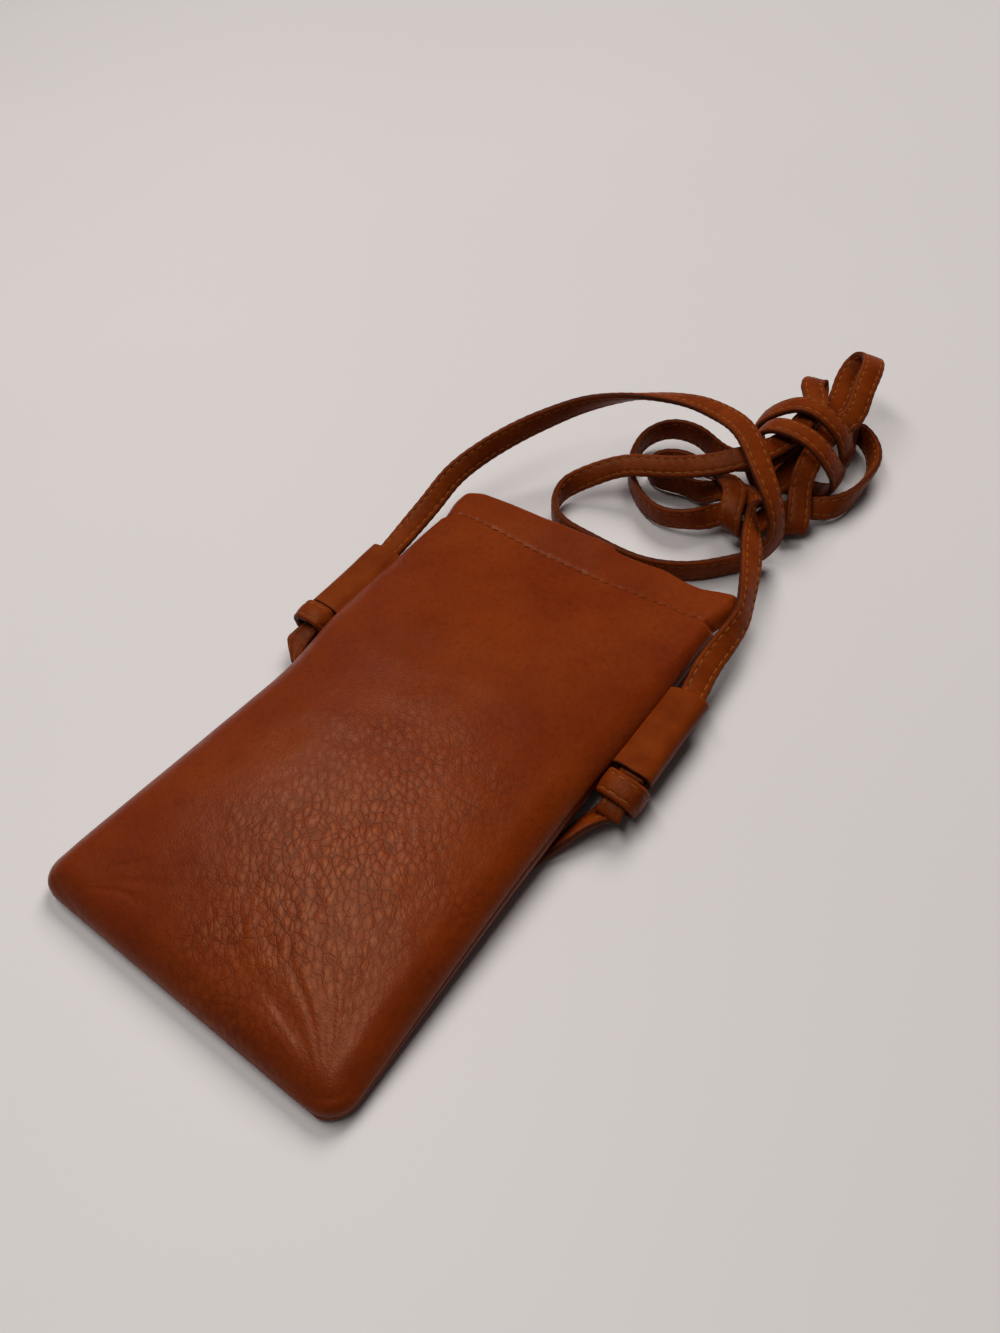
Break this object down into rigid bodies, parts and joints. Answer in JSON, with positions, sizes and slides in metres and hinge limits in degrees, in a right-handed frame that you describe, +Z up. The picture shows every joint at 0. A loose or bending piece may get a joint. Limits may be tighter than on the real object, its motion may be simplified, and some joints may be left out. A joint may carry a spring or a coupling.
{
  "type": "phone pouch",
  "caption": "Soft leather phone pouch with a squeeze-top mouth on spring strips and a long flat crossbody strap, shown lying on its back with the strap gathered up.",
  "frame": {"origin": "on the table under the middle of the pouch and its two sleeves", "axes": "+X across the pouch to its right, +Y along it towards the mouth, +Z up from the table, out of the front"},
  "size_m": [0.1298, 0.3119, 0.0334],
  "materials": {
    "pouch_leather": "satin pebble grain",
    "strap_leather": "satin smooth grain",
    "raw_edge_leather": "matte flesh side",
    "lining": "matte",
    "thread": "waxed thread",
    "spring_steel": "satin"
  },
  "bodies": {
    "root": {"front_panel": "pouch_leather", "back_panel": "pouch_leather", "front_lining": "lining", "back_lining": "lining", "seam_allowance": "raw_edge_leather", "seam_thread": "thread", "left_sleeve": "strap_leather", "right_sleeve": "strap_leather", "strap_left_run": "strap_leather", "strap_bundle": "strap_leather", "strap_right_run": "strap_leather", "left_knot": "strap_leather", "right_knot": "strap_leather", "left_tail": "strap_leather", "right_tail": "strap_leather"},
    "front_lip": {"front_casing": "pouch_leather", "front_hem_stitches": "thread", "front_strip": "spring_steel"},
    "back_lip": {"back_casing": "pouch_leather", "back_hem_stitches": "thread", "back_strip": "spring_steel"},
    "left_end": {"left_pin": "spring_steel"},
    "right_end": {"right_pin": "spring_steel"}
  },
  "joints": [
    {"name": "front_bow", "type": "slide", "parent": "root", "child": "front_lip", "axis": [0, 0, 1], "range_m": [0, 0.018], "stiffness_N_per_m": 600, "deforming": ["front_casing", "front_hem_stitches", "front_strip"]},
    {"name": "back_bow", "type": "slide", "parent": "root", "child": "back_lip", "axis": [0, 0, -1], "range_m": [0, 0.005], "stiffness_N_per_m": 600, "deforming": ["back_casing", "back_hem_stitches", "back_strip"]},
    {"name": "left_squeeze", "type": "slide", "parent": "root", "child": "left_end", "axis": [0.253, 0, 0.9675], "range_m": [0, 0.00672]},
    {"name": "right_squeeze", "type": "slide", "parent": "root", "child": "right_end", "axis": [-0.253, 0, 0.9675], "range_m": [0, 0.00672]}
  ],
  "couplings": [
    {"joint": "back_bow", "follows": "front_bow", "ratio": 0.2777},
    {"joint": "left_squeeze", "follows": "front_bow", "ratio": 0.3733},
    {"joint": "right_squeeze", "follows": "front_bow", "ratio": 0.3733}
  ]
}
